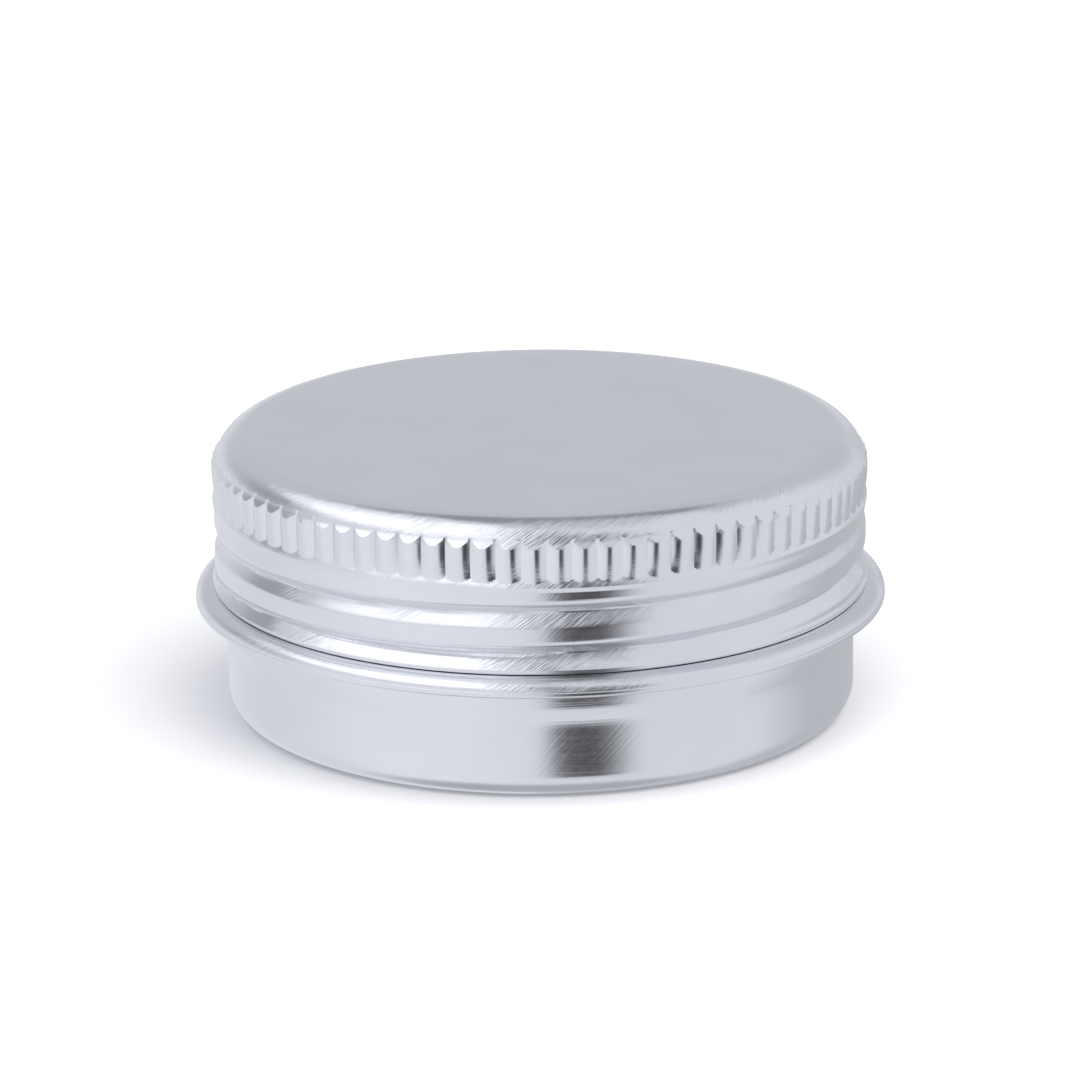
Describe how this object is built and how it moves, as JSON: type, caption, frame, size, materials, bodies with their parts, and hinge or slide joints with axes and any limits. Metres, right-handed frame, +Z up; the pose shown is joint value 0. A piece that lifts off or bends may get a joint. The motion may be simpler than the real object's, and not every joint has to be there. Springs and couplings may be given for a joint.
{
  "type": "candle tin",
  "caption": "Round screw-lid aluminium candle tin with a knurled lid, foam liner, poured wax and a braided wick on a sustainer tab.",
  "frame": {"origin": "centre of the can's underside, on the surface it stands on", "axes": "+Z up along the tin's axis; -Y is the front"},
  "size_m": [0.05, 0.05, 0.0205],
  "materials": {
    "can_aluminium": "satin, plain sheet",
    "lid_aluminium": "satin, plain sheet",
    "foam": "matte expanded polyethylene foam",
    "wax": "soft satin wax",
    "cotton": "braided cotton",
    "tinplate": "bright tinplate",
    "sticker": "foam adhesive disc"
  },
  "bodies": {
    "base": {"base_can": "can_aluminium", "wax_fill": "wax", "wick": "cotton", "wick_sustainer": "tinplate", "wick_sticker": "sticker"},
    "liner": {"lid_liner": "foam"},
    "lid": {"lid_shell": "lid_aluminium"}
  },
  "joints": [
    {"name": "lid_rise", "type": "slide", "parent": "base", "child": "liner", "axis": [0, 0, 1], "range_m": [0, 0.03]},
    {"name": "lid_unscrew", "type": "hinge", "parent": "liner", "child": "lid", "pos_m": [0, 0, 0.0205], "axis": [0, 0, 1], "range_deg": [0, 3600]}
  ],
  "couplings": [
    {"joint": "lid_rise", "follows": "lid_unscrew", "m_per_rad": 0.00047746}
  ]
}
